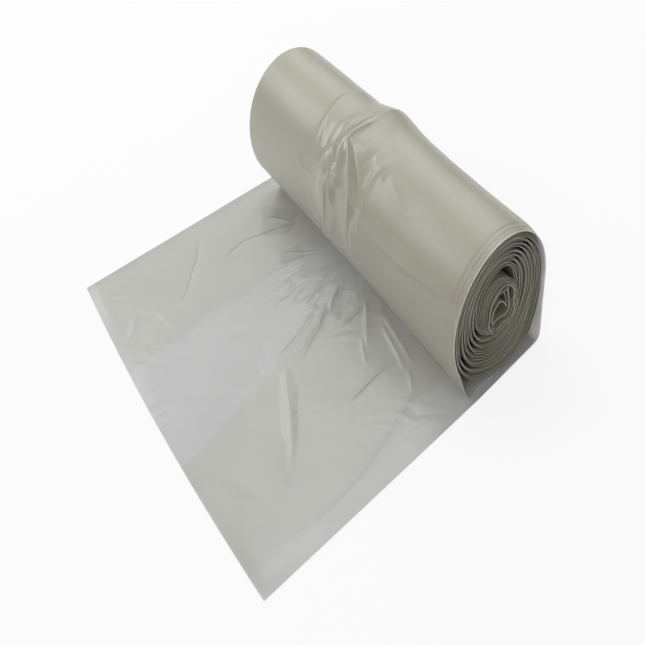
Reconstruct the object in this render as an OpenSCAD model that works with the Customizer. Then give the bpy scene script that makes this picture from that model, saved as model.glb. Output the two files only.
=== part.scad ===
// Roll of folded film sacks, wound without a core, with the first sack pulled out flat.
// One unbroken web of film: loose sheet, outer turn, inner turns and collapsed middle.
// X runs along the roll, Y from the free edge towards the roll, Z up from the table.
// The origin is under the roll's axis, on the face that it rests on.

/* [Roll] */
// Length of the roll, the width of the folded film
roll_len = 450; // [400:1:520]
// Depth of the roll from front to back
roll_depth = 132; // [126:1:150]
// Height of the roll, which is squeezed a little oval
roll_height = 183; // [170:1:200]
// How far the oval leans back at the top, in degrees
roll_lean = 11; // [4:1:12]
// How far the turns have slid out of square at the near end, in degrees
near_slide = 12; // [0:1:14]
// How far they have slid at the far end
far_slide = 6; // [0:1:12]
// How far behind the axis the film turns up from the table
back_foot = 59; // [54:1:62]
// Radius of that upward bend
bend_r = 10; // [6:1:14]
// How far in front of the axis the outer turn creases down onto the sheet
front_lip = 49; // [46:1:58]

/* [Sheet] */
// Distance from the roll's axis to the free edge
sheet_reach = 338; // [260:1:400]
// Thickness of the loose sheet and of the outer turn
sheet_t = 1.6; // [1.2:0.1:2]
// How much wider than the roll the sheet lies where it leaves the roll
sheet_spread = 36; // [0:1:60]
// How far the sheet runs off square towards its near side, in degrees
sheet_skew = 12; // [0:1:14]
// How far each of its sides flares out, in degrees
sheet_flare = 2.8; // [0:0.2:4]

/* [Turns] */
// Number of turns between the outer turn and the hollow round the middle
turns = 7; // [5:1:8]
// Thickness of one turn, a bundle of plies
turn_t = 2.2; // [1.4:0.1:2.4]
// Air between turns that lie on each other
lie_gap = 0.6; // [0.4:0.1:1]
// How much the turns bulge into the corner above the lip, as a share of their size
corner_bulge = 0.06; // [0:0.01:0.07]

/* [Hollow and middle] */
// Width of the hollow inside the turns
hollow_w = 60; // [50:1:64]
// Height of the hollow
hollow_h = 82; // [72:1:90]
// Height of the hollow's centre above the table
hollow_z = 109; // [105:1:112]
// Width of the collapsed middle
middle_w = 48; // [44:1:50]
// Height of the collapsed middle
middle_h = 68; // [62:1:70]
// Width of the leaf-shaped fold inside it
leaf_w = 22; // [20:1:24]
// Height of that fold
leaf_h = 48; // [44:1:50]
// Turns folded into the collapsed middle
middle_turns = 2; // [1:1:2]

/* [Folds] */
// Height of the puffed-up crumple on the roll
crumple_h = 6; // [3:0.5:10]
// Height of the sharper folds in the crumple
fold_h = 3.5; // [2:0.5:6]
// Height of the wrinkles on the sheet
wrinkle_h = 2.5; // [1:0.5:4]

/* [Hidden] */

film_color = [0.76, 0.76, 0.73];

// Columns across the film: how many, and how they crowd where it is creased
across = 40;
column_places = [[0, 0], [6, 0.24], [32, 0.72], [across, 1]];

// Rows along the sheet, up the bend and down the flap, and points round one turn
sheet_rows = 31;
edge_rows = 6;
edge_depth = 78;
bend_rows = 4;
flap_rows = 8;
turn_points = 18;

// Rows over the crown, again crowded where it is creased: from row 4 to row 28
crown_rows = 31;
crease_angles = [30, 169];

// Middle line of the outer turn's oval
oval_a = (roll_depth - sheet_t) / 2;
oval_b = (roll_height - sheet_t) / 2;
oval_mid = [0, roll_height / 2];
girth = PI * (oval_a + oval_b);

// Height of the layer that runs back under the roll, on top of the sheet
run_z = sheet_t + lie_gap + turn_t / 2;

function turned(p, a) = [p.x * cos(a) - p.y * sin(a), p.x * sin(a) + p.y * cos(a)];

// Point p as seen from the oval's centre, with the oval made a circle of radius 1
function in_oval(p) =
    let (q = turned(p - oval_mid, roll_lean))
    [q.x / oval_a, q.y / oval_b];
function on_oval(angle) = oval_mid + turned([oval_a * cos(angle), oval_b * sin(angle)], -roll_lean);

// Angle at which a line from point e touches the oval
function touch_angle(e, side) =
    let (q = in_oval(e))
    atan2(q.y, q.x) + side * acos(1 / norm(q));

// Straight row of n points from p to q, without p itself
function steps(p, q, n) = [for (i = [1:n]) p + (q - p) * i / n];

// Outer turn, as a line in the YZ plane: up from the table, over and down to the lip
foot = [back_foot, sheet_t / 2];
lip = [-front_lip, run_z];
rise_angle = touch_angle(foot, 1);
drop_angle = 360 + touch_angle(lip, -1);
rise_dir = on_oval(rise_angle) - foot;
rise_slope = atan2(rise_dir.y, rise_dir.x);
bend_run = bend_r * tan(rise_slope / 2);
bend_mid = [back_foot - bend_run, foot.y + bend_r];
bend = [for (i = [0:bend_rows])
    let (a = rise_slope * i / bend_rows)
    bend_mid + bend_r * [sin(a), -cos(a)]];
crown = [for (i = [1:crown_rows]) on_oval(lookup(i,
    [[0, rise_angle], [4, crease_angles[0]], [28, crease_angles[1]], [crown_rows, drop_angle]]))];

// Sheet on the table, from the free edge to just behind the lip, which covers its end
lip_cover = 6;
hidden_y = lip_cover - front_lip;
sheet_w = roll_len + sheet_spread;
sheet_line = [for (i = [0:sheet_rows]) [lookup(i,
    [[0, -sheet_reach], [edge_rows, edge_depth - sheet_reach], [sheet_rows, hidden_y]]), sheet_t / 2]];

// Inner turns: an oval that shrinks with the count of turns u to the hollow, then the middle
leaf_turn = turns + 1 + middle_turns;
last_turn = leaf_turn + 1;
inner_a = oval_a - (sheet_t + turn_t) / 2 - lie_gap;
inner_b = oval_b - (sheet_t + turn_t) / 2 - lie_gap;
inner_drop = norm([inner_a * sin(roll_lean), inner_b * cos(roll_lean)]);
hollow_y = -4;
hollow_lean = 12;
middle_lean = 18;
leaf_y = hollow_y + 4;
leaf_z = hollow_z - 8;
leaf_lean = 32;
function inner_mid(u) = [
    lookup(u, [[0, 0], [turns, hollow_y], [turns + 1, hollow_y + 1.5], [leaf_turn, leaf_y]]),
    lookup(u, [[0, run_z + inner_drop], [turns, hollow_z], [turns + 1, hollow_z - 2.5],
               [leaf_turn, leaf_z]])];
function inner_half_w(u) = lookup(u,
    [[0, inner_a], [turns, hollow_w / 2], [turns + 1, middle_w / 2], [leaf_turn, leaf_w / 2],
     [last_turn, leaf_w / 8]]);
function inner_half_h(u) = lookup(u,
    [[0, inner_b], [turns, hollow_h / 2], [turns + 1, middle_h / 2], [leaf_turn, leaf_h / 2],
     [last_turn, leaf_h / 5]]);
function inner_lean(u) = lookup(u,
    [[0, roll_lean], [turns, hollow_lean], [turns + 1, middle_lean], [leaf_turn, leaf_lean]]);
corner_angle = 222;
corner_spread = 40;
function bulge(u, w) =
    let (off = (w - 360 * floor(w / 360) - corner_angle) / corner_spread)
    1 + corner_bulge * min(1, u) * max(0, 1 - u / turns) * exp(-off * off);
function inner_point(u) =
    let (w = 360 * u - 90, k = bulge(u, w))
    inner_mid(u) + turned([inner_half_w(u) * cos(w), inner_half_h(u) * sin(w)], -inner_lean(u)) * k;
first_u = (90 - atan2(inner_b * cos(roll_lean), inner_a * sin(roll_lean))) / 360;
inner = [for (i = [0:(last_turn - 0.25) * turn_points]) inner_point(first_u + i / turn_points)];

// The whole web as one line, and where its parts begin
flap_line = steps(crown[crown_rows - 1], lip, flap_rows);
line = concat(sheet_line, bend, [on_oval(rise_angle)], crown, flap_line, [[lip.x / 2, lip.y]], inner);
sheet_end = sheet_rows;
crown_start = sheet_end + bend_rows + 2;
lip_row = crown_start + crown_rows + flap_rows;
count = len(line);

// Mitred normal to the left of the line at point i
function unit(v) = v / norm(v);
function left_of(v) = [-v.y, v.x];
function side_at(i) =
    let (d1 = unit(line[max(i, 1)] - line[max(i, 1) - 1]),
         d2 = unit(line[min(i, count - 2) + 1] - line[min(i, count - 2)]),
         m = unit(left_of(d1 + d2)))
    m / max(0.5, m * left_of(d1));

function half_t(i) = (i <= lip_row ? sheet_t : turn_t) / 2;

// Ends of row i at depth y: side is -1 at the far end and 1 at the near end
function sheet_x(side, y) = side * sheet_w / 2
    + (tan(sheet_skew) + side * tan(sheet_flare)) * (hidden_y - y);
function roll_x(side, y) = side * roll_len / 2 - tan(side > 0 ? near_slide : far_slide) * y;
function end_x(side, i, y) = i > sheet_end ? roll_x(side, y) : sheet_x(side, y);
function column_x(j, i, y) =
    let (far = end_x(-1, i, y), near = end_x(1, i, y))
    far + (near - far) * lookup(j, column_places);

// Height of a rounded fold that runs from a to b, at point p
function fold(p, a, b, half_w) =
    let (ab = b - a, s = min(1, max(0, (p - a) * ab / (ab * ab))), q = p - a - s * ab)
    exp(-(q * q) / (half_w * half_w));
function folds(p, list) =
    let (h = [for (f = list) f[4] * fold(p, [f[0], f[1]], [f[2], f[3]], f[5])])
    max(0, max(h)) + min(0, min(h));

// Folds of the crumple: x and girth from the crest at both ends, height share, half width
crumple_folds = [
    [-28, -31, -18, -8, 0.7, 9], [-18, -8, -12, 20, 0.8, 9], [-12, 20, -17, 41, 0.8, 9],
    [-17, 41, -36, 71, 0.8, 9], [-95, -37, -88, 4, -0.5, 10], [-88, 4, -76, 38, -0.6, 9],
    [-76, 38, -64, 78, -0.5, 9], [-27, 74, -15, 85, 0.8, 8], [-15, 85, -1, 103, 0.9, 8],
    [-20, 93, -10, 111, 1, 9], [-10, 111, -4, 131, 1, 10], [-4, 131, -8, 158, 0.8, 11],
    [-12, 45, 7, 62, 0.5, 8], [7, 62, 23, 78, 0.6, 8], [23, 78, 36, 97, 0.6, 8],
    [13, 52, 47, 83, 0.4, 8], [32, 61, 47, 83, -0.4, 8], [40, 34, 52, 74, 0.5, 9],
    [52, 74, 56, 102, 0.6, 9], [56, 102, 95, 104, -0.4, 10], [95, 104, 151, 102, -0.3, 10],
    [46, 107, 52, 157, 0.5, 10], [68, 46, 120, 63, 0.3, 12]];

// Wrinkles of the sheet: x and y at both ends, height share, half width
sheet_folds = [
    [-136, -155, -141, -128, 0.8, 9], [-141, -128, -137, -97, 0.8, 9], [-137, -97, -132, -72, 0.7, 9],
    [-179, -188, -137, -210, 0.5, 9], [-137, -210, -91, -246, 0.6, 9],
    [-57, -80, -42, -118, 0.5, 8], [-32, -76, -18, -115, 0.6, 8], [-18, -115, -2, -142, 0.6, 8],
    [-2, -82, 19, -128, 0.5, 8], [9, -81, 30, -103, 0.8, 8], [26, -108, 52, -133, 0.8, 8],
    [52, -133, 79, -168, 0.8, 8], [22, -119, 48, -158, 0.7, 8], [48, -158, 63, -187, 0.7, 8],
    [53, -65, 72, -79, 0.9, 9], [72, -79, 128, -108, 0.9, 9], [78, -59, 154, -76, 0.5, 10],
    [150, -95, 153, -120, 0.6, 9], [153, -120, 166, -156, 0.6, 9], [76, -190, 124, -209, 1, 9],
    [124, -209, 162, -225, 1, 10], [162, -225, 219, -254, 0.9, 11], [39, -201, 77, -213, 0.6, 9],
    [80, -234, 149, -267, 0.4, 9], [196, -99, 233, -147, 0.5, 10], [233, -147, 260, -199, 0.5, 10],
    [260, -199, 277, -262, 0.5, 10], [179, -307, 224, -287, 0.5, 9]];

// Puffed-up crumple: x of its ridge and share of its height at each girth, and its two widths
ridge_x = [[-60, -40], [-35, -30], [-8, -18], [20, -12], [41, -17], [74, -38]];
ridge_share = [[-115, 0], [-38, 1], [15, 0.6], [85, 0]];
far_width = 18;
near_width = 48;

// Thinnest that a fold leaves the film, and over how much the folds fade out at its ends
thinnest = 0.5;
end_fade = 40;
edge_fade = 12;

// How far the outer turn stands proud at x and at girth g from the crest
function swell(x, g) =
    let (off = x - lookup(g, ridge_x), width = off < 0 ? far_width : near_width)
    crumple_h * lookup(g, ridge_share) * exp(-off * off / (width * width));
function proud(x, g) =
    max(thinnest - sheet_t, swell(x, g) + fold_h * folds([x, g], crumple_folds))
    * min(1, (roll_len / 2 - abs(x)) / end_fade);

// How far the top of the sheet is raised at x, y
function raised(x, y) = wrinkle_h * max(-0.2, folds([x, y], sheet_folds))
    * min(1, max(0, hidden_y - 2 * lip_cover - y) / edge_fade)
    * min(1, (y + sheet_reach) / edge_fade);

// Girth from the crest, positive towards the front, of point p on the outer turn
function girth_at(p) =
    let (q = in_oval(p), w = atan2(q.y, q.x))
    ((w < -90 ? w + 360 : w) - 90) / 360 * girth;

// Rows of points on the left and right faces; shaped rows have many points, others two
function plain_row(i, p) = [for (side = [-1, 1]) [end_x(side, i, p.x), p.x, p.y]];
left_rows = [for (i = [0:count - 1])
    let (p = line[i] + side_at(i) * half_t(i))
    i > sheet_end ? plain_row(i, p) :
    [for (j = [0:across])
        let (x = column_x(j, i, p.x))
        [x, p.x, p.y + raised(x, p.x)]]];
right_rows = [for (i = [0:count - 1])
    let (n = side_at(i), p = line[i] - n * half_t(i), g = girth_at(p))
    i < crown_start || i > lip_row ? plain_row(i, p) :
    let (back_fade = min(1, (i - crown_start) / 4), lip_fade = min(1, (lip_row - i) / flap_rows))
    [for (j = [0:across])
        let (x = column_x(j, i, p.x), d = proud(x, g) * back_fade * lip_fade, q = p - unit(n) * d)
        [x, q.x, q.y]]];

// Index of the first point of each row
function starts(rows, first, i = 0, done = []) =
    i == len(rows) ? done : starts(rows, first + len(rows[i]), i + 1, concat(done, [first]));
left_at = starts(left_rows, 0);
left_total = left_at[count - 1] + len(left_rows[count - 1]);
right_at = starts(right_rows, left_total);

function flipped(faces) = [for (f = faces) [f[2], f[1], f[0]]];

// Faces between two rows that start at a and b and have m and n points
function strip(a, m, b, n) =
    m == n ? [for (j = [0:m - 2]) each [[a + j, a + j + 1, b + j + 1], [a + j, b + j + 1, b + j]]] :
    m > n ? concat([for (j = [0:m - 2]) [a + j, a + j + 1, b]], [[a + m - 1, b + 1, b]]) :
    concat([for (j = [0:n - 2]) [a, b + j + 1, b + j]], [[a, a + 1, b + n - 1]]);

module film_web() {
    left_faces = [for (i = [0:count - 2])
        each flipped(strip(left_at[i], len(left_rows[i]), left_at[i + 1], len(left_rows[i + 1])))];
    right_faces = [for (i = [0:count - 2])
        each strip(right_at[i], len(right_rows[i]), right_at[i + 1], len(right_rows[i + 1]))];
    far_faces = [for (i = [0:count - 2])
        let (l = left_at[i], k = left_at[i + 1], r = right_at[i], s = right_at[i + 1])
        each [[k, l, r], [k, r, s]]];
    near_faces = [for (i = [0:count - 2])
        let (l = left_at[i] + len(left_rows[i]) - 1, k = left_at[i + 1] + len(left_rows[i + 1]) - 1,
             r = right_at[i] + len(right_rows[i]) - 1, s = right_at[i + 1] + len(right_rows[i + 1]) - 1)
        each [[l, k, s], [l, s, r]]];
    free_edge = strip(left_at[0], len(left_rows[0]), right_at[0], len(right_rows[0]));
    inner_edge = let (l = left_at[count - 1], r = right_at[count - 1])
        [[r, r + 1, l + 1], [r, l + 1, l]];
    color(film_color)
    polyhedron(
        points = concat([for (row = left_rows) each row], [for (row = right_rows) each row]),
        faces = concat(left_faces, right_faces, far_faces, near_faces, free_edge, inner_edge),
        convexity = 12);
}

film_web();
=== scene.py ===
import math

import bpy
import numpy as np
from mathutils import Matrix, Vector

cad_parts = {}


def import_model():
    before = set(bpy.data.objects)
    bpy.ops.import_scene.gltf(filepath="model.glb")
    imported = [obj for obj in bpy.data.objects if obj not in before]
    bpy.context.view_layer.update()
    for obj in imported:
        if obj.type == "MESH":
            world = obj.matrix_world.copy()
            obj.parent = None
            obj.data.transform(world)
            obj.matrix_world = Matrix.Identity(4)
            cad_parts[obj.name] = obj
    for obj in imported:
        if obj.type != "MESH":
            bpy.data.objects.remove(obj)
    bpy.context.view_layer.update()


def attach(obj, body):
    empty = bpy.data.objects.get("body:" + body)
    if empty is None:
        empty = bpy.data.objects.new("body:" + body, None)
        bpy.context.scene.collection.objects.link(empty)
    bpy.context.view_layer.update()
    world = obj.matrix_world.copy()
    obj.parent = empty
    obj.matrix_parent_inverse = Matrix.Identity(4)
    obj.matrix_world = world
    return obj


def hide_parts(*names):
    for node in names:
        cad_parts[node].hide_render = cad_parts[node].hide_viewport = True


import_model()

# Sizes of the web of film, in metres and degrees, as in the part's source
ROLL_LEN = 0.450
ROLL_DEPTH = 0.132
ROLL_HEIGHT = 0.183
ROLL_LEAN = 11
NEAR_SLIDE = 12
FAR_SLIDE = 6
BACK_FOOT = 0.059
BEND_R = 0.010
FRONT_LIP = 0.049
SHEET_REACH = 0.338
SHEET_SPREAD = 0.036
SHEET_SKEW = 12
SHEET_FLARE = 2.8
LIP_COVER = 0.006
SOLID_T = 0.0016
TURN_T = 0.002
LIE_GAP = 0.0006
TURNS = 8
CORNER_BULGE = 0.06
HOLLOW = (0.060, 0.082)
HOLLOW_Y = -0.004
HOLLOW_Z = 0.109
HOLLOW_LEAN = 12

# The sheet's width where it leaves the roll, and where it does so
SHEET_W = ROLL_LEN + SHEET_SPREAD
SHEET_START = LIP_COVER - FRONT_LIP

# Thickness of the drawn film, and height of its middle above the table
FILM_T = 0.0005
FILM_Z = SOLID_T / 2

# Spacing of the mesh where the film is creased, and elsewhere
FINE = 0.0013
COARSE = 0.003

MM = 0.001


# Noise and soft steps

NOISE_CELLS = 64


def gradient_noise(x, y, seed):
    """Smooth noise from about -0.7 to 0.7, one wave to a unit."""
    angle = np.random.default_rng(seed).uniform(0, 2 * math.pi, (NOISE_CELLS, NOISE_CELLS))
    xi, yi = np.floor(x).astype(int), np.floor(y).astype(int)
    fx, fy = x - xi, y - yi

    def corner(i, j):
        a = angle[(xi + i) % NOISE_CELLS, (yi + j) % NOISE_CELLS]
        return np.cos(a) * (fx - i) + np.sin(a) * (fy - j)

    u, v = fx ** 3 * (fx * (fx * 6 - 15) + 10), fy ** 3 * (fy * (fy * 6 - 15) + 10)
    low = corner(0, 0) + (corner(1, 0) - corner(0, 0)) * u
    high = corner(0, 1) + (corner(1, 1) - corner(0, 1)) * u
    return low + (high - low) * v


def facets(x, y, seed):
    """Flat three-sided facets with sharp edges, as in crumpled film, from 0 to 1."""
    bent_x = 0.5 * gradient_noise(x * 0.9, y * 0.9, seed + 1)
    bent_y = 0.5 * gradient_noise(x * 0.9, y * 0.9, seed + 2)
    x, y = x + bent_x, y + bent_y
    skew = (x + y) * 0.366
    i, j = np.floor(x + skew).astype(int), np.floor(y + skew).astype(int)
    fx, fy = x + skew - i, y + skew - j
    height = np.random.default_rng(seed).uniform(0, 1, (NOISE_CELLS, NOISE_CELLS))
    side = fx > fy
    first = height[i % NOISE_CELLS, j % NOISE_CELLS]
    second = height[(i + side) % NOISE_CELLS, (j + 1 - side) % NOISE_CELLS]
    third = height[(i + 1) % NOISE_CELLS, (j + 1) % NOISE_CELLS]
    high, low = np.maximum(fx, fy), np.minimum(fx, fy)
    return first * (1 - high) + second * (high - low) + third * low


def smooth(low, high, v):
    """0 at low, 1 at high, and a soft step between."""
    t = np.clip((v - low) / (high - low), 0, 1)
    return t * t * (3 - 2 * t)


def bell(v, middle, width):
    """1 at the middle, falling off softly over the width."""
    return np.exp(-((v - middle) / width) ** 2)


# Section of the roll, as lines of (y, z) points

OVAL_A = ROLL_DEPTH / 2 - FILM_T
OVAL_B = ROLL_HEIGHT / 2 - FILM_T
OVAL_MID = np.array([0, ROLL_HEIGHT / 2])
GIRTH = math.pi * (OVAL_A + OVAL_B)
RUN_Z = SOLID_T + LIE_GAP + TURN_T / 2

# Half width and half height of the outermost inner turn, and the turn at which it is lowest
INNER_A = OVAL_A - TURN_T / 2 - LIE_GAP - SOLID_T / 2
INNER_B = OVAL_B - TURN_T / 2 - LIE_GAP - SOLID_T / 2
LEAN = math.radians(ROLL_LEAN)
INNER_DROP = math.hypot(INNER_A * math.sin(LEAN), INNER_B * math.cos(LEAN))
FIRST_U = math.atan2(INNER_A * math.sin(LEAN), INNER_B * math.cos(LEAN)) / (2 * math.pi)


def turned(p, degrees):
    """Points turned anticlockwise about 0, 0."""
    a = np.radians(degrees)
    c, s = np.cos(a), np.sin(a)
    return np.stack([p[..., 0] * c - p[..., 1] * s, p[..., 0] * s + p[..., 1] * c], -1)


def on_oval(angle):
    """Point of the outer turn's oval at an angle."""
    a = np.radians(angle)
    return OVAL_MID + turned(np.stack([OVAL_A * np.cos(a), OVAL_B * np.sin(a)], -1), -ROLL_LEAN)


def oval_angle(p):
    """Angle of a point round the oval, and its distance with the oval made a unit circle."""
    q = turned(np.asarray(p) - OVAL_MID, ROLL_LEAN) / (OVAL_A, OVAL_B)
    return np.degrees(np.arctan2(q[..., 1], q[..., 0])), np.hypot(q[..., 0], q[..., 1])


def touch_angle(p, side):
    """Angle at which a line from a point touches the oval."""
    angle, distance = oval_angle(p)
    return angle + side * math.degrees(math.acos(1 / distance))


def lengths_along(points):
    """Distance of each point along its line."""
    return np.concatenate([[0], np.cumsum(np.hypot(*np.diff(points, axis=0).T))])


def placed(points, at):
    """Points at the given distances along a line of points."""
    along = lengths_along(points)
    return np.stack([np.interp(at, along, points[:, i]) for i in (0, 1)], -1)


def spaced(low, high, step):
    """Values from low to high, a local step apart that step(value) gives."""
    tries = np.linspace(low, high, 4000)
    count = np.concatenate([[0], np.cumsum(np.diff(tries) / step((tries[1:] + tries[:-1]) / 2))])
    return np.interp(np.linspace(0, count[-1], round(count[-1]) + 1), count, tries)


def rounded(corner, before, after, radius, n=10):
    """Points of a rounded corner between the directions to before and to after."""
    d1 = (before - corner) / np.linalg.norm(before - corner)
    d2 = (after - corner) / np.linalg.norm(after - corner)
    half = math.acos(np.dot(d1, d2)) / 2
    mid = corner + (d1 + d2) / np.linalg.norm(d1 + d2) * radius / math.sin(half)
    a, b = corner + d1 * radius / math.tan(half) - mid, corner + d2 * radius / math.tan(half) - mid
    sweep = math.pi - 2 * half
    return [mid + (a * math.sin(sweep * (1 - t)) + b * math.sin(sweep * t)) / math.sin(sweep)
            for t in np.linspace(0, 1, n)]


# Where the inner turns bulge outwards at their corner, and how widely, in degrees round the turn
BULGE_AT = 222
BULGE_WIDTH = 40


def spiral(u):
    """Point of the rolled web after u turns from the middle of the roll's underside."""
    w = 360 * u - 90
    inward = np.clip(u / TURNS, 0, 1)
    half_w = INNER_A + (HOLLOW[0] / 2 - INNER_A) * inward
    half_h = INNER_B + (HOLLOW[1] / 2 - INNER_B) * inward
    top_z = RUN_Z + INNER_DROP
    middle = np.stack([HOLLOW_Y * inward, top_z + (HOLLOW_Z - top_z) * inward], -1)
    tilt = ROLL_LEAN + (HOLLOW_LEAN - ROLL_LEAN) * inward
    bulge = 1 + CORNER_BULGE * np.minimum(1, u) * (1 - inward) * bell(w % 360, BULGE_AT, BULGE_WIDTH)
    p = np.stack([half_w * np.cos(np.radians(w)), half_h * np.sin(np.radians(w))], -1)
    return middle + turned(p, -tilt) * bulge[..., None]


# Radius of the fold at the lip, and how the run back under from there ends: after how many turns,
# and how far below the inner turns
LIP_R = 0.0005
RUN_END = 0.045
RUN_BELOW = 0.0015


def outer_line():
    """From under the roll, round the back foot, over the top, down to the lip and back under."""
    start = np.array([0.0, FILM_Z])
    foot = np.array([BACK_FOOT, FILM_Z])
    lip = np.array([-FRONT_LIP, FILM_Z + 1.2 * FILM_T])
    rise = touch_angle(foot, 1)
    drop = 360 + touch_angle(lip, -1)
    crown = on_oval(np.linspace(rise, drop, 160))
    under = spiral(np.linspace(FIRST_U, RUN_END, 12)) - (0, RUN_BELOW)
    return np.array([start, *rounded(foot, start, crown[0], BEND_R), *crown,
                     *rounded(lip, crown[-1], under[0], LIP_R), *under])


# Ends of the film at depth y: side is -1 at the far end and 1 at the near end

def slope(degrees):
    """Rise of a slope for each metre along."""
    return math.tan(math.radians(degrees))


def roll_x(side, y):
    """End of the rolled film."""
    return side * ROLL_LEN / 2 - slope(NEAR_SLIDE if side > 0 else FAR_SLIDE) * y


def table_x(side, y):
    """End of the film on the table: the sheet's, and under the roll an even run to the roll's."""
    lean = slope(SHEET_SKEW) + side * slope(SHEET_FLARE)
    loose = side * SHEET_W / 2 + lean * np.maximum(0, SHEET_START - y)
    under = np.clip((y - SHEET_START) / (BACK_FOOT - SHEET_START), 0, 1)
    return loose + (roll_x(side, BACK_FOOT) - loose) * under


# Creases

def line_field(x, y, points):
    """Signed distance from x, y to a line of points, positive on its right, and the way along it."""
    points = np.asarray(points, float)
    before = lengths_along(points)
    best, along = np.full(x.shape, 1e9), np.zeros(x.shape)
    for i in range(len(points) - 1):
        ax, ay = points[i]
        dx, dy = points[i + 1] - points[i]
        t = np.clip(((x - ax) * dx + (y - ay) * dy) / (dx * dx + dy * dy), 0, 1)
        d = np.hypot(x - ax - t * dx, y - ay - t * dy)
        side = np.where((x - ax) * dy - (y - ay) * dx < 0, -1, 1)
        closer = d < np.abs(best)
        best = np.where(closer, d * side, best)
        along = np.where(closer, (before[i] + t * (before[i + 1] - before[i])) / before[-1], along)
    return best, along


def softened(points):
    """The same line with its corners cut twice."""
    points = np.asarray(points, float)
    for _ in range(2):
        a, b = points[:-1] * 0.75 + points[1:] * 0.25, points[:-1] * 0.25 + points[1:] * 0.75
        points = np.concatenate([points[:1], np.stack([a, b], 1).reshape(-1, 2), points[-1:]])
    return points


# How round the crest of a crease is, in mm
CREST = 0.35


def crease(x, y, points, height, left, right):
    """A crease along points: its height and its widths to the left and the right, all in mm."""
    d, t = line_field(x / MM, y / MM, softened(points))
    width = np.where(d > 0, right, left)
    profile = np.exp(-(np.sqrt(d * d + CREST * CREST) - CREST) / width)
    fade = np.sqrt(smooth(-0.1, 0.25, t) * smooth(1.1, 0.75, t))
    return height * MM * profile * fade


def creases(x, y, lines):
    """The creases of a list, added together."""
    return sum(crease(x, y, *line) for line in lines)


# Crumple on the roll: (x, girth from the crest) points, height, and widths to either side
ROLL_CREASES = [
    ([(-28, -31), (-18, -8), (-12, 20), (-17, 41), (-24, 52), (-38, 74)], 3.4, 3, 14),
    ([(-95, -37), (-88, 4), (-76, 38), (-70, 58), (-65, 72)], 1.8, 4, 12),
    ([(-71, 40), (-61, 57), (-51, 74)], 0.8, 2, 6),
    ([(-35, 70), (-27, 74), (-15, 85), (-4, 96), (0, 105)], 4.2, 2.2, 3.5),
    ([(-16, 52), (-11, 59), (-5, 75), (2, 88)], 3.6, 2.2, 3),
    ([(-20, 91), (-10, 111), (-4, 131), (-7, 165)], 5.4, 1.8, 12),
    ([(-12, 45), (7, 62), (23, 78), (36, 97), (38, 117)], 3.2, 5, 2.5),
    ([(-7, 48), (12, 61), (29, 76), (44, 91)], -3.0, 2.5, 2.5),
    ([(-11, 42), (11, 50), (34, 68), (47, 85)], 2.6, 2.2, 7),
    ([(-13, 44), (-11, 32), (-8, 15)], 2.0, 3, 5),
    ([(33, 38), (44, 50), (52, 74), (57, 88), (55, 107)], 1.8, 2.5, 8),
    ([(53, 99), (74, 104), (95, 104), (124, 104), (151, 102), (185, 97), (229, 91)], 2.4, 4, 22),
    ([(68, 44), (93, 56), (109, 62), (120, 63), (134, 50)], 0.9, 7, 4),
    ([(46, 107), (48, 132), (52, 165)], 2.2, 5, 10),
    ([(-73, 115), (-62, 125), (-47, 128)], 1.2, 3, 4),
    ([(-96, 99), (-76, 104), (-54, 103)], 1.0, 3, 4),
]

# Wrinkles on the sheet: (x, y) points, height, and widths to either side
SHEET_CREASES = [
    ([(-134, -158), (-139, -143), (-141, -128), (-136, -112), (-137, -97), (-131, -70)], 1.9, 1.8, 8),
    ([(-182, -184), (-154, -196), (-137, -210), (-114, -225), (-97, -237), (-89, -248)], 1.3, 5, 2),
    ([(-166, -86), (-152, -78), (-139, -66)], 1.3, 2, 5),
    ([(-57, -83), (-59, -113)], 0.9, 2, 3),
    ([(-50, -100), (-42, -118), (-32, -131)], 1.0, 3, 2),
    ([(-37, -103), (-28, -132)], 1.2, 3, 3),
    ([(-33, -74), (-26, -98), (-18, -115), (-2, -144)], 1.2, 3, 2),
    ([(-3, -80), (2, -95), (14, -116), (20, -130)], 1.0, 2, 3),
    ([(-6, -96), (6, -129)], 0.9, 3, 2),
    ([(8, -79), (20, -94), (32, -105)], 1.8, 3, 2),
    ([(24, -106), (40, -122), (52, -133), (58, -143), (71, -159), (80, -170)], 1.7, 4, 2),
    ([(20, -117), (40, -143), (48, -158), (57, -172), (64, -189)], 1.5, 5, 2),
    ([(13, -81), (22, -69)], 0.8, 2, 2),
    ([(56, -75), (61, -94), (66, -110)], 1.5, 2, 3),
    ([(50, -66), (72, -79), (106, -99)], 2.0, 7, 2),
    ([(94, -99), (110, -106), (129, -114)], 1.1, 3, 2),
    ([(76, -60), (113, -65), (156, -72)], 1.2, 4, 3),
    ([(96, -71), (140, -79), (157, -84)], 1.1, 4, 2),
    ([(150, -93), (149, -108), (155, -124), (161, -140), (167, -158)], 1.3, 2, 5),
    ([(170, -83), (192, -94)], 0.8, 3, 2),
    ([(76, -188), (104, -201), (124, -209), (162, -225), (221, -255)], 2.0, 7, 6),
    ([(80, -199), (111, -216), (137, -227), (164, -238), (182, -238)], -0.9, 4, 3),
    ([(90, -187), (111, -190), (130, -200), (191, -232)], -0.9, 3, 4),
    ([(37, -200), (56, -209), (79, -214)], 1.5, 5, 1.8),
    ([(78, -233), (106, -246), (151, -268)], 0.7, 5, 3),
    ([(196, -97), (209, -116), (222, -130), (233, -147), (243, -166), (253, -183), (260, -199),
      (268, -224), (277, -255), (276, -273)], 1.1, 7, 3),
    ([(178, -308), (189, -300), (204, -296), (226, -286)], 0.9, 3, 5),
    ([(-93, -273), (-62, -271)], 0.6, 3, 3),
    ([(-103, -302), (-76, -317)], 0.6, 3, 3),
    ([(-68, -139), (-52, -136), (-44, -132)], 0.9, 3, 3),
]

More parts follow.
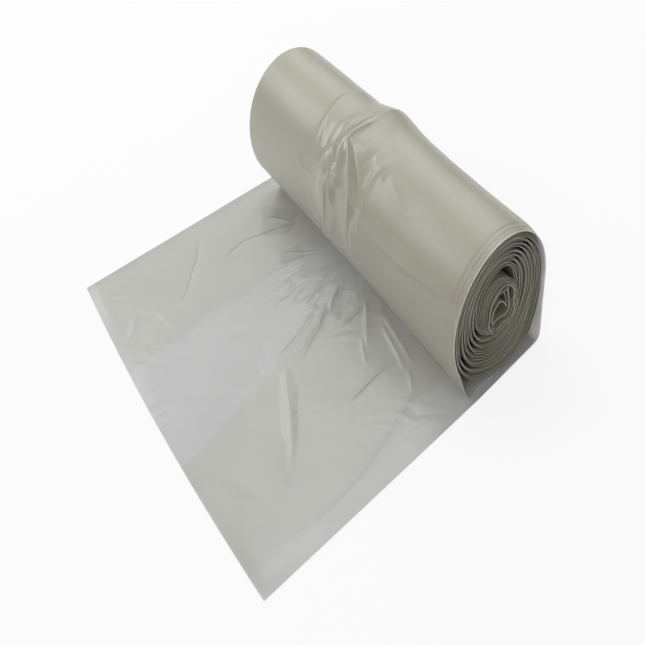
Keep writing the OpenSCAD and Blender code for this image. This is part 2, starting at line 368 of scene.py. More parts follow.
# Where the tucked-in sides end: x at each y on the sheet, in mm, and the slipped near edge
TUCK_Y = (-338, -317, -296, -280, -264, -239, -222, -206, -187, -169, -150, -130, -66)
FAR_TUCK = (-24, -24, -28, -34, -31, -45, -53, -51, -48, -55, -60, -64, -68)
NEAR_TUCK = (139, 132, 123, 113, 104, 93, 86, 77, 65, 56, 44, 34, 30)
SLIP_Y = (-338, -273, -255, -224, -199, -183, -166, -147, -130, -116, -97, -66)
SLIP_X = (292, 277, 276, 268, 260, 253, 243, 233, 222, 214, 206, 200)

# How far the middle of the free edge bows outwards
EDGE_BOW = 0.007

# How softly the valleys of the outer turn level out, before they reach its underside
VALLEY = 0.0008

# The hump of the crumple: its height, and x of its crest at each girth from the roll's crest
HUMP = 0.008
HUMP_G = (-0.060, -0.035, -0.008, 0.020, 0.041, 0.074)
HUMP_X = (-0.040, -0.030, -0.018, -0.012, -0.017, -0.038)

# How much deeper the creases of the lists are drawn on the roll and on the sheet
ROLL_DEPTH_SHARE = 1.3
SHEET_DEPTH_SHARE = 1.5


def roll_hump(x, g):
    """The broad hump of the crumple, steep on its far side and gentle on its near side."""
    off = x - np.interp(g, HUMP_G, HUMP_X)
    gentle = 0.5 * bell(off, 0, 0.035) + 0.5 * bell(off, 0, 0.095)
    rise = np.where(off < 0, smooth(-0.048, 0.0, off), gentle)
    return HUMP * rise * smooth(-0.115, -0.038, g) * smooth(0.085, -0.03, g)


def roll_relief(x, g):
    """The facets and dents of the crumple, in mm."""
    warp = 0.012 * gradient_noise(x / 0.05, g / 0.05, 11)
    pinch = bell(x - 0.005, 0, 0.055) * smooth(-0.023, 0.057, g)
    broad = facets((x - 0.3 * g + warp) / 0.019, (g + warp) / 0.042, 5)
    small = facets((x - 0.2 * g + warp) / 0.009, (g - warp) / 0.019, 6)
    dents = gradient_noise((x + warp) / 0.055, (g + warp) / 0.034, 3)
    wide = facets((x + warp) / 0.10, (g + warp) / 0.026, 17)
    return (4.4 * broad + 1.6 * small) * pinch + 0.7 * dents + 0.5 * wide


def roll_proud(x, g):
    """How far the outer turn stands off its smooth form, at girth g from the crest."""
    lines = ROLL_DEPTH_SHARE * creases(x, g, ROLL_CREASES)
    total = roll_hump(x, g) + lines + roll_relief(x, g) * MM
    return (total + np.sqrt(total * total + VALLEY * VALLEY)) / 2 - VALLEY / 4


def sheet_raised(x, y):
    """How far the sheet is raised off the table."""
    warp = 0.010 * gradient_noise(x / 0.05, y / 0.05, 21)
    from_x, from_y = x + 0.040, y + 0.025
    reach, heading = np.hypot(from_x, from_y), np.arctan2(from_y, from_x)
    fan = facets(heading * 11 + warp * 60, reach / 0.035, 25) * bell(reach, 0.085, 0.05) * bell(x, 0.0, 0.10)
    middle = smooth(-0.055, -0.035, x) * smooth(0.11, 0.08, x)
    rumple = facets((x - 0.8 * y + warp) / 0.013, (x + 1.3 * y - warp) / 0.034, 35)
    fine = facets((x - 0.6 * y) / 0.006, (x + y + warp) / 0.014, 36)
    strip = bell(x - 0.9 * y, 0.335, 0.035)
    waves = gradient_noise(x / 0.09 + 7, y / 0.07 + 3, 31)
    relief = 2.6 * fan + (0.5 * rumple + 0.25 * fine) * (0.5 + middle + strip) + 1.6 * (waves + 0.5)
    return np.maximum(SHEET_DEPTH_SHARE * creases(x, y, SHEET_CREASES) + relief * MM, 0)


# Darker patches on the sheet, where more plies lie on each other: (x, y) corners in mm
DARK_PATCHES = [
    [(-197, -82), (-136, -112), (-118, -80), (-149, -50)],
    [(-95, -107), (-75, -116), (-62, -115), (-71, -102), (-66, -84), (-92, -80)],
]


def inside(x, y, corners):
    """How far x, y lies inside a shape, 0 to 1 across a soft edge of 4 mm."""
    corners = np.asarray(corners + corners[:1], float) * MM
    edge = np.full(x.shape, 1e9)
    within = np.zeros(x.shape, bool)
    for (ax, ay), (bx, by) in zip(corners[:-1], corners[1:]):
        dx, dy = bx - ax, by - ay
        t = np.clip(((x - ax) * dx + (y - ay) * dy) / (dx ** 2 + dy ** 2), 0, 1)
        edge = np.minimum(edge, np.hypot(x - ax - t * dx, y - ay - t * dy))
        crosses = (ay > y) != (by > y)
        at = ax + (y - ay) / (by - ay if by != ay else 1) * (bx - ax)
        within ^= crosses & (x < at)
    return smooth(-0.002, 0.002, np.where(within, edge, -edge))


# Meshes

def build(name, points, faces, uv, sharp=50):
    """A mesh object from points, faces of three or four corners, and a web coordinate per point."""
    mesh = bpy.data.meshes.new(name)
    loops = np.concatenate([f.ravel() for f in faces])
    starts = np.cumsum([0] + [f.shape[1] for f in faces for _ in range(len(f))])[:-1]
    mesh.vertices.add(len(points))
    mesh.vertices.foreach_set("co", points.astype(np.float32).ravel())
    mesh.loops.add(len(loops))
    mesh.loops.foreach_set("vertex_index", loops.astype(np.int32))
    mesh.polygons.add(len(starts))
    mesh.polygons.foreach_set("loop_start", starts.astype(np.int32))
    mesh.update(calc_edges=True)
    layer = mesh.uv_layers.new(name="web")
    layer.data.foreach_set("uv", uv[loops].astype(np.float32).ravel())
    mesh.polygons.foreach_set("use_smooth", np.ones(len(starts), bool))
    mesh.validate()
    mesh.set_sharp_from_angle(angle=math.radians(sharp))
    piece = bpy.data.objects.new(name, mesh)
    bpy.context.scene.collection.objects.link(piece)
    return piece


def quads(a, b, c, d):
    """Faces of four corners."""
    return np.stack([a, b, c, d], -1).reshape(-1, 4)


def ply_strip(grid, uv, thickness):
    """Points, faces and web coordinates of a closed thin film round a grid of middle points."""
    rows, cols = grid.shape[:2]
    normal = np.cross(np.gradient(grid, axis=0), np.gradient(grid, axis=1))
    normal /= np.maximum(np.linalg.norm(normal, axis=-1, keepdims=True), 1e-12)
    points = np.concatenate([(grid + normal * thickness / 2).reshape(-1, 3),
                             (grid - normal * thickness / 2).reshape(-1, 3)])
    index = np.arange(rows * cols).reshape(rows, cols)
    top = quads(index[:-1, :-1], index[1:, :-1], index[1:, 1:], index[:-1, 1:])
    ring = np.concatenate([index[0, :], index[1:, -1], index[-1, -2::-1], index[-2:0:-1, 0]])
    after = np.roll(ring, -1)
    rim = quads(ring, after, after + rows * cols, ring + rows * cols)
    faces = np.concatenate([top, top[:, ::-1] + rows * cols, rim])
    return points, faces, np.tile(uv.reshape(-1, 2), (2, 1))


def skin(name, top, under, uv, under_u=None):
    """A closed film with a finely shaped top and an underside that runs straight from end to end."""
    rows, cols = top.shape[:2]
    index = np.arange(rows * cols).reshape(rows, cols)
    left = rows * cols + np.arange(rows)
    right = left + rows
    first = right[-1] + 1 + np.arange(cols)
    last = first + cols
    points = np.concatenate([top.reshape(-1, 3), under[:, 0], under[:, -1], under[0], under[-1]])
    webs = np.concatenate([uv.reshape(-1, 2), uv[:, 0], uv[:, -1], uv[0], uv[-1]])
    if under_u is not None:
        webs[rows * cols:, 0] = np.concatenate([under_u, under_u, np.repeat(under_u[[0, -1]], cols)])
    first[0], first[-1], last[0], last[-1] = left[0], right[0], left[-1], right[-1]
    half = cols // 2
    four = np.concatenate([
        quads(index[:-1, :-1], index[1:, :-1], index[1:, 1:], index[:-1, 1:]),
        quads(index[1:, 0], index[:-1, 0], left[:-1], left[1:]),
        quads(index[:-1, -1], index[1:, -1], right[1:], right[:-1]),
        quads(index[0, :-1], index[0, 1:], first[1:], first[:-1]),
        quads(index[-1, 1:], index[-1, :-1], last[:-1], last[1:]),
        quads(left[1:-2], right[1:-2], right[2:-1], left[2:-1])])
    three = []
    for row, edge, flip in ((first, 1, False), (last, -2, True)):
        fans = [(row[j], row[j + 1], left[edge] if j < half else right[edge]) for j in range(cols - 1)]
        fans.append((left[edge], row[half], right[edge]))
        three += [f[::-1] if flip else f for f in fans]
    return build(name, points, [four, np.array(three)], webs)


def mesh_step(fine):
    """Spacing of a mesh: fine where its share is 1, and coarse where it is 0."""
    return FINE + (COARSE - FINE) * (1 - fine)


# Ends of the bands on the sheet's colour ramp: far tuck, middle, near tuck and slipped strip
BANDS = (0, 1 / 3, 2 / 3, 0.94, 1)


def sheet_bands(xx, y):
    """Place on the sheet's colour ramp, by the bands of plies that the tucked-in sides make."""
    tucks = [np.interp(y / MM, TUCK_Y, t) * MM for t in (FAR_TUCK, NEAR_TUCK)]
    slipped = np.interp(y / MM, SLIP_Y, SLIP_X) * MM
    return np.stack([np.interp(row, [row[0], tucks[0][i], tucks[1][i], slipped[i], row[-1]], BANDS)
                     for i, row in enumerate(xx)])


# Width of the sheet's border in which its wrinkles fade
SHEET_RIM = 0.012


def loose_sheet():
    """The pulled-out sheet, from its free edge to under the roll."""
    y = spaced(-SHEET_REACH, 0, lambda v: mesh_step(smooth(-0.29, -0.24, v) * smooth(-0.06, -0.066, v)))
    v = spaced(0, 1, lambda w: mesh_step(smooth(0.05, 0.12, w) * smooth(0.98, 0.93, w)) / SHEET_W)
    yy, vv = np.meshgrid(y, v, indexing="ij")
    far, near = table_x(-1, yy), table_x(1, yy)
    xx = far + (near - far) * vv
    rim = smooth(0, SHEET_RIM, np.minimum(xx - far, near - xx)) * smooth(0, SHEET_RIM, yy + SHEET_REACH)
    bowed = yy - EDGE_BOW * 4 * vv * (1 - vv) * smooth(-0.2, -SHEET_REACH, yy)
    hidden = smooth(-FRONT_LIP + SHEET_RIM, -FRONT_LIP - SHEET_RIM, yy)
    zz = FILM_Z + FILM_T / 2 + sheet_raised(xx, yy) * (0.25 + 0.75 * rim) * hidden
    top = np.stack([xx, bowed, zz], -1)
    under = np.stack([xx, bowed, 0 * zz + FILM_Z - FILM_T / 2], -1)
    dark = sum(inside(xx, yy, corners) for corners in DARK_PATCHES)
    return skin("loose_sheet", top, under, np.stack([sheet_bands(xx, y), dark], -1))


def outward(line):
    """Unit normals on the right of a line of points, which is outwards on the roll."""
    d = np.gradient(line, axis=0)
    n = np.stack([d[:, 1], -d[:, 0]], -1)
    return n / np.linalg.norm(n, axis=1, keepdims=True)


# Place on the roll film's colour ramp of its inner face, whose pale colour is painted light for light coming
# through the film: less of it on the table, and all of it where it is lit through
ON_TABLE = 0.48
LIT_THROUGH = 1.0

# Edges of the outermost plies, set back from the near end of the roll, and the height and the
# half width of the step at each
PLY_STEPS = (0.0035, 0.0075, 0.013)
PLY_STEP = 0.0007
PLY_STEP_RUN = 0.0006

# The lip runs a little askew: how far behind its place it lies in the middle, and its angle
LIP_BACK = 0.003
LIP_SKEW = 1.5

# Width of the roll's border in which its crumple fades
ROLL_RIM = 0.03

# Where the film of the crumple is pulled tight, and so more glossy: x of its middle, its width, and
# the girth over which it sets in
TIGHT_X = -0.005
TIGHT_WIDTH = 0.045
TIGHT_RUN = 0.045

# Spacing of the roll's mesh round its girth, where it is creased and elsewhere
ROUND_FINE = FINE * 1.1
ROUND_COARSE = COARSE * 1.3


def turn_rows(base):
    """Distances along the outer turn for its mesh: close where it is creased, and at its bends."""
    total = lengths_along(base)[-1]
    tries = np.linspace(0, total, 500)
    y_along, z_along = placed(base, tries).T

    def step(s):
        y, z = np.interp(s, tries, y_along), np.interp(s, tries, z_along)
        creased = smooth(0.035, 0.015, y) * smooth(0.003, 0.006, z)
        bend = smooth(0.012, 0.005, z) * (np.abs(y) > 0.04)
        return ROUND_COARSE + (ROUND_FINE - ROUND_COARSE) * np.maximum(creased, bend)

    return spaced(0, total, step)


def turn_girth(line):
    """Girth of each point of a line round the roll, from the crest and growing towards the front."""
    angle = oval_angle(line)[0]
    angle = np.where(angle < -90, angle + 360, angle)
    return (angle - 90) / 360 * GIRTH


def outer_turn():
    """The outer turn of the roll, down to its lip and back under it."""
    base = outer_line()
    at = turn_rows(base)
    line = placed(base, at)
    line_y, line_z = line[:, :1], line[:, 1:]
    normal = outward(line)
    normal_y, normal_z = normal[:, :1], normal[:, 1:]
    girth = turn_girth(line)[:, None]
    at = at[:, None]
    lip = at[np.argmin(line_y), 0]
    v = spaced(0, 1, lambda w: mesh_step(smooth(0.20, 0.27, w) * smooth(0.72, 0.64, w)
                                         + smooth(0.955, 0.965, w)) / ROLL_LEN)

    # The ends of the film depend on its depth, and that on how proud it stands: a second pass settles it
    y = line_y + 0 * v
    back_under = smooth(lip + 0.02, lip, at)
    on_table = smooth(0.012, 0.001, line_z) * (at < lip / 2)
    for _ in range(2):
        far, near = (roll_x(side, y) + (table_x(side, y) - roll_x(side, y)) * on_table for side in (-1, 1))
        xx = far + (near - far) * v
        ends = smooth(0, ROLL_RIM, np.minimum(xx - far, near - xx))
        proud = roll_proud(xx, girth + 0 * v) * ends
        y = line_y + normal_y * proud * back_under * smooth(0.05, -0.02, line_y)

    clear = smooth(0.003, 0.03, line_z)
    set_back = near - xx
    steps = sum(smooth(s - PLY_STEP_RUN, s + PLY_STEP_RUN, set_back) for s in PLY_STEPS) * PLY_STEP * clear
    askew = (LIP_BACK - slope(LIP_SKEW) * xx) * smooth(0.05, 0.01, line_z) * (at > lip / 2)
    top_y = line_y + normal_y * (proud * back_under + steps + FILM_T / 2) + askew
    top_z = line_z + normal_z * (proud * clear + steps + FILM_T / 2)
    under_y = line_y - normal_y * FILM_T / 2 + askew
    under_z = line_z - normal_z * FILM_T / 2 + 0 * xx
    top, under = np.stack([xx, top_y, top_z], -1), np.stack([xx, under_y, under_z], -1)
    # Painted light on the inner face: partly where it lies on the table, fully where light comes through it
    inner_u = ON_TABLE + (LIT_THROUGH - ON_TABLE) * smooth(0.002, 0.02, line_z[:, 0])
    tight = bell(xx, TIGHT_X, TIGHT_WIDTH) * smooth(0, TIGHT_RUN, girth)
    return skin("outer_turn", top, under, np.stack([0 * tight, tight], -1), inner_u)


# How far the undersides of the inner turns have slipped out at the near end
SLIP = 0.005

# How far the layer that runs back from the lip is set back from the ends
RUN_BACK = 0.014

# Distances from the ends of the film at which the inner plies have their points
END_STEPS = np.array([0, 0.0012, 0.004, 0.012, 0.04])

# Length over which a ply's waves die away from its ends, and the lengths of its waves along the line
WAVE_REACH = 0.03
WAVE_LENGTH = 0.016
UNEVEN_LENGTH = 0.08


def ply(line, seed, wave, recess, uneven, thickness):
    """One ply of film along a line, waving a little and set back unevenly at its two ends."""
    s = lengths_along(line)
    slipped = SLIP * smooth(0.09, 0.01, line[:, 1]) * smooth(-0.035, 0.01, line[:, 0])
    normal = outward(line)
    columns, webs = [], []
    for end in (-1, 1):
        back = recess + uneven * (gradient_noise(s / UNEVEN_LENGTH, 0 * s + 0.5, seed + 7 * end) + 0.35)
        for d in (END_STEPS if end < 0 else END_STEPS[::-1]):
            waves = gradient_noise(s / WAVE_LENGTH, 0 * s + d / WAVE_REACH, seed + 3 + end)
            shift = wave * math.exp(-d / WAVE_REACH) * waves
            p = line + normal * shift[:, None]
            x = roll_x(end, p[:, 0]) - end * (np.maximum(0.0003, back) + d) + slipped * (end > 0)
            columns.append(np.stack([x, p[:, 0], p[:, 1]], -1))
            # Distance from the end, which sets how much painted shade the ply gets
            webs.append(np.stack([0 * s + d / END_STEPS[-1], 0 * s], -1))
    return ply_strip(np.stack(columns, 1), np.stack(webs, 1), thickness)


def plies(name, parts):
    """Several plies as one piece."""
    points, faces, webs, count = [], [], [], 0
    for p, f, w in parts:
        points.append(p)
        faces.append(f + count)
        webs.append(w)
        count += len(p)
    return build(name, np.concatenate(points), [np.concatenate(faces)], np.concatenate(webs), 40)


# How far each ply of a turn's bundle is set back from the ends, its wave and its unevenness
PLY_RECESS = (0.0006, 0.0022, 0.0009, 0.0028)
PLY_WAVE = 0.0004
PLY_UNEVEN = 0.0035

# Where the turns gape: share of the space, and place and width in degrees round the turn
GAPES = ((0.5, 222, 30), (0.42, 62, 26))

# Share of a turn's space that its bundle fills where the turns don't gape, and the least and most
FILL = 0.92
FILL_RANGE = (0.3, 0.97)

# How far behind the lip the run under the roll starts, and how deep its bundle is there
RUN_START = 0.008
RUN_DEPTH = 0.0008

# Points of a ply's line: to each turn, and on the run under the roll
TURN_POINTS = 96
RUN_POINTS = 30


def inner_turns():
    """The loose turns seen at the ends, each a bundle of plies that gapes at two corners."""
    u = np.linspace(FIRST_U, TURNS + 0.02, round(TURNS * TURN_POINTS))
    line = spiral(u)
    pitch = np.linalg.norm(spiral(u + 1) - line, axis=1)
    pitch = np.where(u > TURNS - 1, np.interp(TURNS - 1, u, pitch), pitch)
    w = (360 * u - 90) % 360
    gape = sum(share * bell(w, place, width) for share, place, width in GAPES)
    gape = gape * (1 + 0.8 * gradient_noise(u * 1.7, 0 * u + 0.5, 9))
    close = gradient_noise(u * 2.3, 0 * u + 0.5, 10)
    fill = np.clip(FILL - gape + 0.25 * close, *FILL_RANGE)
    back = np.linspace(1, 0, RUN_POINTS, endpoint=False)
    run = np.stack([line[0, 0] + (RUN_START - FRONT_LIP - line[0, 0]) * back, 0 * back + RUN_Z], -1)
    line = np.concatenate([run, line])
    depth = np.concatenate([(1 - back) * pitch[0] * fill[0] + RUN_DEPTH * back, pitch * fill])
    normal = outward(line)
    parts = []
    for i, recess in enumerate(PLY_RECESS):
        offset = depth * (i + 0.5) / len(PLY_RECESS)
        set_back = recess + RUN_BACK * smooth(0.09, 0.03, lengths_along(line))
        middle = line - normal * offset[:, None]
        parts.append(ply(middle, 40 + 5 * i, PLY_WAVE, set_back, PLY_UNEVEN, FILM_T))
    return plies("inner_turns", parts)


# Folded-in middle of the roll: (y, z) points of its plies, in mm, seen from the near end
MIDDLE_OUTER = [(-4, 65), (12, 65), (24, 77), (26, 93), (24, 108), (19, 121), (9, 130), (-3, 136),
                (-16, 131), (-24, 118), (-29, 102), (-28, 87), (-21, 74), (-10, 66)]
MIDDLE_LOOP = [(-8, 68), (0, 70), (3, 73), (10, 70), (16, 71), (21, 76), (20, 87), (20, 94), (22, 101),
               (20, 108), (15, 116), (10, 119), (4, 120), (-3, 116), (-9, 111), (-13, 103), (-15, 92),
               (-17, 82), (-16, 75), (-12, 70)]
MIDDLE_LEAF = [(12, 114), (13, 104), (14, 95), (14, 87), (12, 81), (7, 79), (0, 81), (-7, 81), (-11, 78),
               (-12, 84), (-11, 91), (-9, 96), (-5, 100), (-1, 103), (3, 102), (7, 97), (9, 91)]
MIDDLE_TAB = [(14, 114), (9, 112), (3, 114), (-3, 113), (-9, 107)]
MIDDLE_NIB = [(7, 111), (9, 104), (10, 95)]

# Single plies of the middle: points, seed, wave, recess and thickness
MIDDLE_PLIES = [
    (MIDDLE_LOOP, 70, 0.0003, 0.0010, 0.0011),
    (MIDDLE_LEAF, 75, 0.0003, 0.0016, 0.0012),
    (MIDDLE_TAB, 80, 0.0002, 0.0014, 0.0008),
    (MIDDLE_NIB, 85, 0.0002, 0.0024, 0.0006),
]

# Plies from its outer line to its loop: their places, and how far each is further set back
MIXED_AT = (0, 0.2, 0.4, 0.6, 0.8)
MIXED_BACK = 0.0005


def middle_line(points, step=0.0012):
    """A smooth line through the points, with a point at each step."""
    points = softened(points) * MM
    total = lengths_along(points)[-1]
    return placed(points, np.linspace(0, total, round(total / step)))


def middle_fold():
    """The collapsed middle with its folded-in plies."""
    outer, loop = middle_line(MIDDLE_OUTER), middle_line(MIDDLE_LOOP)
    share = np.linspace(0, 1, len(outer))
    loop_same = placed(loop, share * lengths_along(loop)[-1])
    parts = [ply(middle_line(points), seed, wave, recess, 0.001, thickness)
             for points, seed, wave, recess, thickness in MIDDLE_PLIES]
    for i, t in enumerate(MIXED_AT):
        mixed = outer * (1 - t) + loop_same * t
        parts.append(ply(mixed, 90 + 5 * i, 0.0003, 0.0012 + MIXED_BACK * i, 0.0015, FILM_T))
    return plies("middle_fold", parts)


# Materials

class Tree:
    """A material's nodes, with short ways to add one and to join two."""

    def __init__(self, name):
        self.material = bpy.data.materials.new(name)
        self.material.use_nodes = True
        self.nodes = self.material.node_tree.nodes
        self.nodes.clear()

    def add(self, kind, **values):
        node = self.nodes.new("ShaderNode" + kind)
        for key, value in values.items():
            node.inputs[key.replace("_", " ")].default_value = value
        return node

    def join(self, source, socket, node, target):
        self.material.node_tree.links.new(source.outputs[socket], node.inputs[target])


def colour_ramp(tree, stops):
    """A ramp of colours: a list of (position, colour)."""
    ramp = tree.add("ValToRGB")
    elements = ramp.color_ramp.elements
    elements[0].position, elements[0].color = stops[0]
    elements[1].position, elements[1].color = stops[1]
    for position, colour in stops[2:]:
        elements.new(position).color = colour
    return ramp


def mapped(tree, source, socket, low, high, start=0.0, end=1.0):
    """A node that turns start to end into low to high."""
    node = tree.add("MapRange")
    node.inputs["From Min"].default_value = start
    node.inputs["From Max"].default_value = end
    node.inputs["To Min"].default_value = low
    node.inputs["To Max"].default_value = high
    tree.join(source, socket, node, "Value")
    return node


def film_colour(tree, web, place, stops, dim):
    """Colours across the web, clouded a little, and dimmed by its second coordinate."""
    ramp = colour_ramp(tree, stops)
    tree.join(web, "X", ramp, "Fac")
    cloud = tree.add("TexNoise", Scale=13, Detail=5, Roughness=0.6)
    tree.join(place, "Object", cloud, "Vector")
    both = tree.add("Math")
    both.operation = "MULTIPLY"
    tree.join(mapped(tree, cloud, "Fac", 0.965, 1.03, 0.3, 0.7), "Result", both, 0)
    tree.join(mapped(tree, web, "Y", 1, dim), "Result", both, 1)
    colour = tree.add("VectorMath")
    colour.operation = "SCALE"
    tree.join(ramp, "Color", colour, "Vector")
    tree.join(both, "Value", colour, "Scale")
    return colour


def film_ripple(tree, place, bump):
    """A fine ripple, drawn out across the roll."""
    stretch = tree.add("Mapping", Scale=(1, 0.4, 0.7))
    ripple = tree.add("TexNoise", Scale=150, Detail=3)
    tree.join(place, "Object", stretch, "Vector")
    tree.join(stretch, "Vector", ripple, "Vector")
    relief = tree.add("Bump", Strength=bump, Distance=0.001)
    tree.join(ripple, "Fac", relief, "Height")
    return relief


def film_material(name, stops, shine, bump, through, dim=1.0, gloss=(0, 0), haze=(0.2, 0.2)):
    """Milky polyethylene film: colours across the web, clouded a little, with a fine ripple.

    The web's second coordinate dims the film by dim, and turns gloss and its haze from the first
    value to the second.
    """
    tree = Tree(name)
    film = tree.add("BsdfPrincipled", Roughness=shine, IOR=1.5, Subsurface_Weight=through)
    film.inputs["Subsurface Radius"].default_value = (1, 1, 0.85)
    film.inputs["Subsurface Scale"].default_value = 0.003
    coordinates = tree.add("UVMap")
    coordinates.uv_map = "web"
    web = tree.add("SeparateXYZ")
    tree.join(coordinates, "UV", web, "Vector")
    place = tree.add("TexCoord")
    tree.join(film_colour(tree, web, place, stops, dim), "Vector", film, "Base Color")
    tree.join(mapped(tree, web, "Y", *gloss), "Result", film, "Coat Weight")
    tree.join(mapped(tree, web, "Y", *haze), "Result", film, "Coat Roughness")
    tree.join(film_ripple(tree, place, bump), "Normal", film, "Normal")
    tree.join(film, "BSDF", tree.add("OutputMaterial"), "Surface")
    return tree.material


# Colours of the film: the sheet's bands, the roll outside, the roll's inside painted pale as painted light,
# and the inner plies darkened as painted shade
TAN = (0.472, 0.474, 0.440, 1)
WHITE = (0.50, 0.50, 0.495, 1)
SLIPPED = (0.50, 0.50, 0.49, 1)
DEEP = (0.450, 0.434, 0.357, 1)
# Painted light: the roll's inner face is painted near white for the light that comes through the film
PAINTED_THROUGH_LIGHT = (0.94, 0.94, 0.94, 1)
# Painted shade: the inner plies are darkened where shade falls between them, and less so at their edges
LESS_SHADED_EDGE = (0.38, 0.372, 0.31, 1)
PAINTED_GAP_SHADE = (0.27, 0.260, 0.195, 1)

# Half width of the soft step between two bands of the sheet
BAND_SOFT = 0.006


def sheet_material():
    """The sheet: tan where the tucked-in sides lie in it, and whiter between them and where one slipped."""
    _, far, near, slipped, _ = BANDS
    stops = [(0, TAN)]
    for place, before, after in ((far, TAN, WHITE), (near, WHITE, TAN), (slipped, TAN, SLIPPED)):
        stops += [(place - BAND_SOFT, before), (place + BAND_SOFT, after)]
    return film_material("sheet_film", stops, shine=0.30, bump=0.12, through=0.15, dim=0.86,
                         gloss=(0.25, 0.25), haze=(0.17, 0.17))


def roll_material():
    """The outer turn: deeper in colour outside, and painted pale inside as painted light where light comes
    through it.
    """
    return film_material("rolled_film", [(0.4, DEEP), (0.6, PAINTED_THROUGH_LIGHT)], shine=0.38, bump=0.10, through=1.0,
                         gloss=(0.25, 1.0), haze=(0.25, 0.10))


def inside_material():
    """The inner turns, with painted shade: dark between the plies, where shade falls, and less dark at their
    edges.
    """
    return film_material("inner_film", [(0, LESS_SHADED_EDGE), (0.025, PAINTED_GAP_SHADE)], shine=0.42, bump=0.10, through=0.0)


# The floor's size, how far it lies under the part, and how much of it is plain white to the camera
FLOOR_SIZE = 12
FLOOR_DROP = 0.0002
FLOOR_GLOW = 0.85


def floor_material():
    """Pale matt paint that the camera sees as nearly white, with the object's shadow kept."""
    tree = Tree("pale_floor")
    out = tree.add("OutputMaterial")
    paint = tree.add("BsdfDiffuse", Color=(0.8, 0.8, 0.8, 1))
    glow = tree.add("Emission", Color=(1, 1, 1, 1), Strength=1)
    path = tree.add("LightPath")
    share = tree.add("Math")
    share.operation = "MULTIPLY"
    share.inputs[1].default_value = FLOOR_GLOW
    mix = tree.add("MixShader")
    tree.join(path, "Is Camera Ray", share, 0)
    tree.join(share, "Value", mix, 0)
    tree.join(paint, "BSDF", mix, 1)
    tree.join(glow, "Emission", mix, 2)
    tree.join(mix, "Shader", out, "Surface")
    return tree.material


# Stage, light and camera

def stage():
    """The floor, which belongs to the stage."""
    bpy.ops.mesh.primitive_plane_add(size=FLOOR_SIZE, location=(0, 0, -FLOOR_DROP))
    floor = bpy.context.object
    floor.name = "floor"
    floor.data.materials.append(floor_material())


# Lamps: name, place, size, power and colour. They all point at one place, the foot of the roll
LAMP_AIM = (0, -0.05, 0.05)
DAYLIGHT = (0.98, 0.99, 1.0)
LAMPS = [
    ("overhead", (-1.2, 0.6, 3.8), 2.6, 18, DAYLIGHT),
    ("fill", (1.8, -3.0, 1.6), 2.4, 6.5, (1.0, 0.98, 0.92)),
    ("glint", (-1.9, -2.1, 1.5), 0.9, 8, (0.94, 0.96, 1.0)),
    ("side", (2.8, -1.3, 0.9), 1.4, 13, (1.0, 0.99, 0.98)),
    ("far_top", (-1.0, 0.4, 1.6), 1.8, 6, DAYLIGHT),
    ("far_front", (-1.1, -0.6, 0.9), 0.7, 3, DAYLIGHT),
    ("far_back", (-1.4, 1.2, 1.2), 1.8, 7, DAYLIGHT),
]

# Strength of the room's light at the horizon and overhead, and the heights between which it grows
ROOM_LOW = 0.0
ROOM_HIGH = 0.64
LOW_HEIGHT = 0.15
HIGH_HEIGHT = 0.6


def area_light(name, place, size, power, colour):
    """A round lamp that points at the roll."""
    data = bpy.data.lights.new(name, "AREA")
    data.shape = "DISK"
    data.size = size
    data.energy = power
    data.color = colour
    lamp = bpy.data.objects.new(name, data)
    bpy.context.scene.collection.objects.link(lamp)
    lamp.location = place
    aim = Vector(LAMP_AIM) - Vector(place)
    lamp.rotation_euler = aim.to_track_quat("-Z", "Y").to_euler()


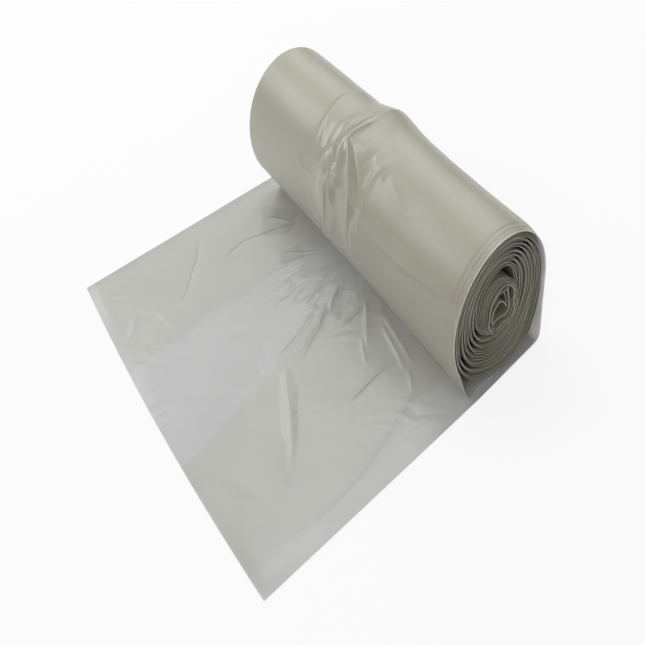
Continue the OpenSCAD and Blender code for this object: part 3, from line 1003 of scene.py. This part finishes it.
def world():
    """Room light: none at the horizon, brighter overhead, and plain white where the camera sees it."""
    room = bpy.data.worlds.new("room")
    bpy.context.scene.world = room
    room.use_nodes = True
    nodes, links = room.node_tree.nodes, room.node_tree.links
    where = nodes.new("ShaderNodeTexCoord")
    split = nodes.new("ShaderNodeSeparateXYZ")
    height = nodes.new("ShaderNodeMapRange")
    height.inputs["From Min"].default_value = LOW_HEIGHT
    height.inputs["From Max"].default_value = HIGH_HEIGHT
    height.inputs["To Min"].default_value = ROOM_LOW
    height.inputs["To Max"].default_value = ROOM_HIGH
    links.new(where.outputs["Generated"], split.inputs["Vector"])
    links.new(split.outputs["Z"], height.inputs["Value"])
    path = nodes.new("ShaderNodeLightPath")
    strength = nodes.new("ShaderNodeMath")
    strength.operation = "MAXIMUM"
    links.new(height.outputs["Result"], strength.inputs[0])
    links.new(path.outputs["Is Camera Ray"], strength.inputs[1])
    links.new(strength.outputs["Value"], nodes["Background"].inputs["Strength"])
    nodes["Background"].inputs["Color"].default_value = (1, 1, 1, 1)


def lights():
    """The room's light and the lamps."""
    world()
    for lamp in LAMPS:
        area_light(*lamp)


# Camera: direction from the target, its distance, the lens and how far the photograph is tilted
CAMERA_AZIMUTH = 69.8
CAMERA_ELEVATION = 45.6
CAMERA_TILT = -0.216
CAMERA_DISTANCE = 1.025
CAMERA_TARGET = (0.0859, -0.1376, 0.0457)
CAMERA_LENS = 52.04
CAMERA_SENSOR = 36


def camera():
    """The camera where the photographer's was, and tilted as much."""
    a, e = math.radians(CAMERA_AZIMUTH), math.radians(CAMERA_ELEVATION)
    back = Vector((math.sin(a) * math.cos(e), -math.cos(a) * math.cos(e), math.sin(e)))
    right = Vector((math.cos(a), math.sin(a), 0))
    up = back.cross(right)
    c, s = math.cos(CAMERA_TILT), math.sin(CAMERA_TILT)
    right, up = right * c + up * s, up * c - right * s
    data = bpy.data.cameras.new("camera")
    data.sensor_width = CAMERA_SENSOR
    data.lens = CAMERA_LENS
    data.clip_start = 0.01
    view = bpy.data.objects.new("camera", data)
    bpy.context.scene.collection.objects.link(view)
    turn = Matrix((right, up, back)).transposed().to_4x4()
    view.matrix_world = Matrix.Translation(Vector(CAMERA_TARGET) + back * CAMERA_DISTANCE) @ turn
    bpy.context.scene.camera = view


def dress(piece, material):
    """Give a piece its material, and let it show the web of film."""
    piece.data.materials.append(material)
    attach(piece, "root")
    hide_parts("film_web")


camera()
inner = inside_material()
dress(loose_sheet(), sheet_material())
dress(outer_turn(), roll_material())
dress(inner_turns(), inner)
dress(middle_fold(), inner)
stage()
lights()
bpy.context.scene.view_settings.view_transform = "Standard"
